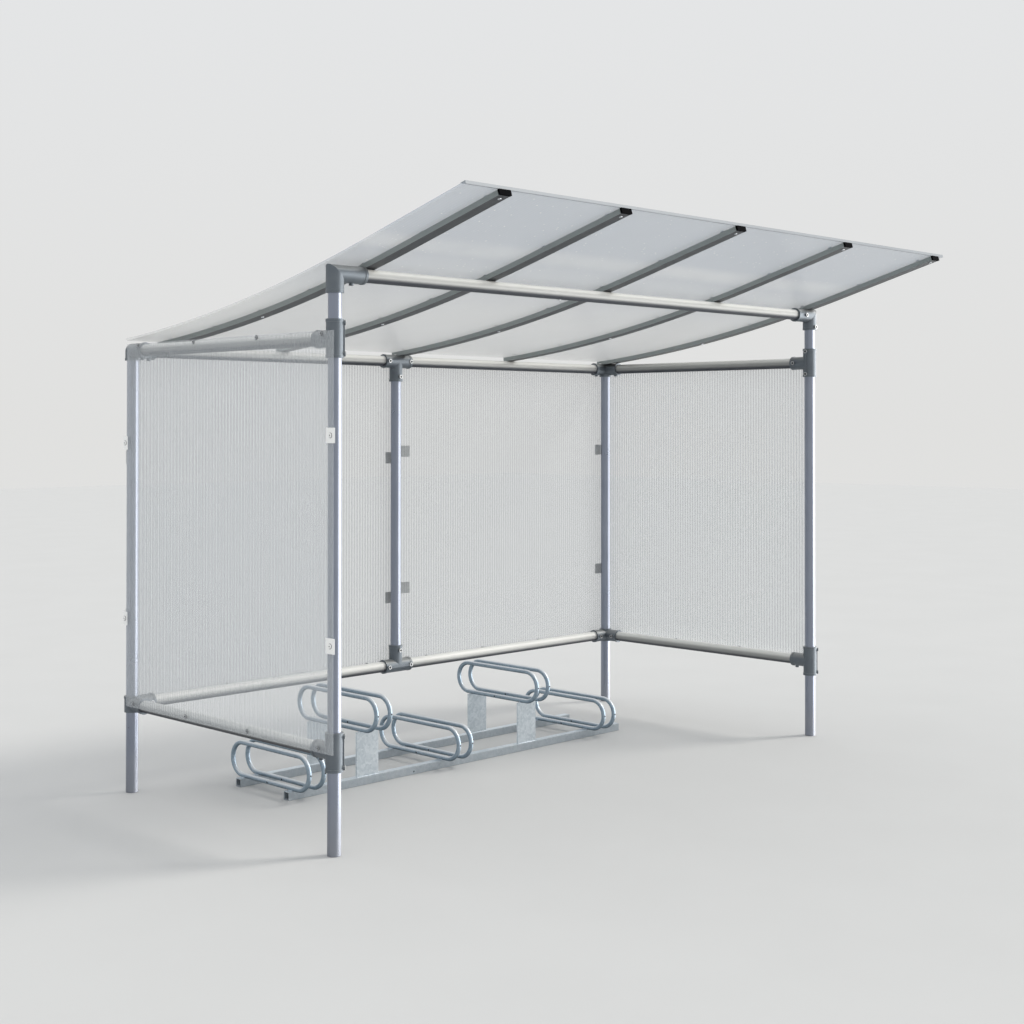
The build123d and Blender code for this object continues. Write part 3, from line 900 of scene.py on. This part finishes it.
for x, ups in BACK_CLIPS:
    for up in ups:
        heads.append(land("clips_back", (x, back + OUTSIDE_WALL, low_z + up), -Y))
place_copies("clip_screw_washers_and_shade_dots", dark_parts, heads)

# %% [markdown]
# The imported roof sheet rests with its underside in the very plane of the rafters' tops. Two see-through or
# solid faces in one plane flicker in a render, because either may be hit first. So the sheet is a merged
# copy of the node whose underside is lifted by less than a millimetre, and it replaces the node.

# %% Lift the roof's underside off the rafters
LIFT = 0.0008
MERGE_WITHIN = 0.00001
FACING_DOWN = -0.8
bpy.ops.object.select_all(action="DESELECT")
roof_piece = copy_of(nodes["roof_sheet"])
give_name(roof_piece, "roof_sheet_lifted")
roof_piece.select_set(True)
bpy.context.view_layer.objects.active = roof_piece
bpy.ops.object.mode_set(mode="EDIT")
bpy.ops.mesh.select_all(action="SELECT")
bpy.ops.mesh.remove_doubles(threshold=MERGE_WITHIN)
only(roof_piece, "FACE", lambda f: f.normal.z < FACING_DOWN)
print("underside of", roof_piece.data.total_face_sel, "faces is lifted")
bpy.ops.transform.translate(value=(0, 0, LIFT))
bpy.ops.object.mode_set(mode="OBJECT")
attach(roof_piece, "root")
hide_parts("roof_sheet")
leave_out(kept_off, roof_piece)

# %% [markdown]
# Under the rafters a few button-headed screws show, one close behind each front end and one further back,
# and one more under the front beam.

# %% Model one button screw
BUTTON_RADIUS, BUTTON_HEIGHT = 0.0065, 0.0034
BUTTON_ROUNDING, BUTTON_BORDER, BUTTON_DEPTH = 0.0024, 0.0010, 0.0018
cylinder(24, BUTTON_RADIUS, 0, BUTTON_HEIGHT)
button = open_piece(zinc, socket)
only(button, "EDGE", lambda e: high(e, BUTTON_HEIGHT))
bpy.ops.mesh.bevel(offset=BUTTON_ROUNDING, segments=4)
only(button, "FACE", lambda f: top_face(f, BUTTON_HEIGHT))
bpy.ops.mesh.inset(thickness=BUTTON_BORDER)
pull(-BUTTON_DEPTH)
# The socket in the head: painted shade
paint(button, 1)
close_piece("button screw", button)

# %% [markdown]
# The screws under the rafters are found by a line sent straight up. The one under the beam leans a little
# to the front, as it was seen, so its place is worked out on the round of the tube.

# %% Put the button screws under the rafters and the beam
BEHIND_RAFTER_ENDS = (0.024, 1.355)
BELOW_RAFTERS = 1.2
BEAM_SCREW_ACROSS, BEAM_SCREW_DOWN = 1.182, 0.0245
under = []
for number in RAFTERS:
    x = middle(f"rafter_{number}").x
    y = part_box(f"rafter_{number}")[0].y
    for behind in BEHIND_RAFTER_ENDS:
        under.append(land(f"rafter_{number}", (x, y + behind, BELOW_RAFTERS), Z))
beam_spot = Vector((left + BEAM_SCREW_ACROSS, front, beam_z))
leaning = Vector((0, 0.17, -0.985)).normalized()
under.append((beam_spot + leaning * BEAM_SCREW_DOWN, leaning))
place_copies("button_screws", button, under)

# %% [markdown]
# Hollow steel has to be drilled before it is dipped in zinc, so that air and molten metal can run through
# it. These vent holes show as dark dots on the nose and on the lower bar of every loop, and once on the
# front rail. A hole can't be cut in a node, so a thin-rimmed cup stands half a millimetre proud of it, and
# the cup's floor is painted near-black, a painted shade for the inside of the hole.

# %% Model one vent hole
VENT_RADIUS, VENT_RIM, VENT_DEPTH = 0.0047, 0.0007, 0.0004
VENT_BASE, VENT_HEIGHT = -0.0017, 0.0022
VENT_INSIDE = VENT_RADIUS - VENT_RIM / 2
cylinder(20, VENT_RADIUS, VENT_BASE, VENT_HEIGHT)
vent = open_piece(loop_bar, socket)
only(vent, "FACE", lambda f: top_face(f, VENT_BASE + VENT_HEIGHT))
bpy.ops.mesh.inset(thickness=VENT_RIM)
pull(-VENT_DEPTH)
only(vent, "FACE", lambda f: all(v.co.xy.length < VENT_INSIDE for v in f.verts))
# The cup's floor: painted shade
paint(vent, 1)
close_piece("vent hole", vent)

# %% [markdown]
# Each loop has one vent hole on its nose and one low on its left side. The front rail has one on its face.

# %% Put the vent holes on the rack
PAIRS = range(1, 6)
BEFORE_NOSE = 0.1
SIDE_VENT_BACK, SIDE_VENT_UP = 0.008, 0.010
RAIL_VENT_ACROSS, RAIL_VENT_UP = 1.046, 0.012
vents = []
for number in PAIRS:
    for side in ("left", "right"):
        name = f"rack_loop_{number}_{side}"
        low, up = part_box(name)
        mid = (low + up) / 2
        nose = land(name, (mid.x, low.y - BEFORE_NOSE, mid.z), Y)[0]
        vents.append((nose, -Y))
        vents.append((Vector((low.x, mid.y + SIDE_VENT_BACK, low.z + SIDE_VENT_UP)), -X))
rail_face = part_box("rack_rail_front")[0].y
vents.append((Vector((left + RAIL_VENT_ACROSS, rail_face, RAIL_VENT_UP)), -Y))
place_copies("vent_holes", vent, vents)

# %% [markdown]
# Where a loop meets a rail or a plate it is welded, and the zinc has run over the weld. A weld is a row of
# small overlapping lumps, so one flattened lump is modelled, repeated along a line by an array, and the
# line is copied to each seam. A lump's half length, its height and the step to the next are shares of the
# weld's size.

# %% Model one length of weld
LUMP_HALF, LUMP_HEIGHT, LUMP_STEP = 0.62, 0.8, 0.75


def weld(length, size):
    bpy.ops.object.select_all(action="DESELECT")
    bpy.ops.mesh.primitive_uv_sphere_add(segments=10, ring_count=6, radius=size)
    bead = bpy.context.object
    bpy.ops.object.mode_set(mode="EDIT")
    bpy.ops.mesh.select_all(action="SELECT")
    bpy.ops.transform.resize(value=(LUMP_HALF, 1, LUMP_HEIGHT))
    bpy.ops.transform.translate(value=(-length / 2 + size * LUMP_HALF, 0, 0))
    bpy.ops.object.mode_set(mode="OBJECT")
    row = bead.modifiers.new("row", "ARRAY")
    row.use_relative_offset = False
    row.use_constant_offset = True
    row.constant_offset_displace = (size * LUMP_STEP, 0, 0)
    row.count = max(2, int((length - size * 2 * LUMP_HALF) / (size * LUMP_STEP)) + 1)
    bpy.ops.object.modifier_apply(modifier="row")
    bpy.ops.object.shade_smooth()
    bead.data.materials.append(galvanised.material)
    return bead


def lay_welds(name, master, spots):
    """Copies a weld to each spot, a point with the way that the weld runs."""
    places = []
    for point, along in spots:
        lie = Vector(along).to_track_quat("X", "Z").to_matrix().to_4x4()
        places.append(Matrix.Translation(point) @ lie)
    piece = join_copies(name, master, places)
    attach(piece, "root")


# %% [markdown]
# A loop's lower bar lies on a rail or, where it is raised, on a plate that stands on the rail. A weld runs
# along both sides of every such seat, and one more along both faces of each plate's foot.

# %% Weld the loops and the plates
BESIDE_BAR, ABOVE_SEAT, OFF_PLATE = 0.0065, 0.0015, 0.0008
on_rail, on_plate, plate_foot = [], [], []
for number in PAIRS:
    for side in ("left", "right"):
        low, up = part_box(f"rack_loop_{number}_{side}")
        x = (low.x + up.x) / 2
        for rail in ("front", "rear"):
            plate = f"rack_plate_{number}_{rail}"
            if plate in nodes:
                seams = on_plate
                seat_low, seat_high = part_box(plate)
            else:
                seams = on_rail
                seat_low, seat_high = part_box(f"rack_rail_{rail}")
            y = (seat_low.y + seat_high.y) / 2
            for off in (-BESIDE_BAR, BESIDE_BAR):
                seams.append((Vector((x + off, y, seat_high.z + ABOVE_SEAT)), Y))
for name in nodes:
    if name.startswith("rack_plate"):
        low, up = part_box(name)
        x = (low.x + up.x) / 2
        for y in (low.y - OFF_PLATE, up.y + OFF_PLATE):
            plate_foot.append((Vector((x, y, low.z + OFF_PLATE)), X))
lay_welds("welds_loops_to_rails", weld(length=0.030, size=0.0032), on_rail)
lay_welds("welds_loops_to_plates", weld(length=0.010, size=0.0028), on_plate)
lay_welds("welds_plates_to_rails", weld(length=0.116, size=0.0028), plate_foot)
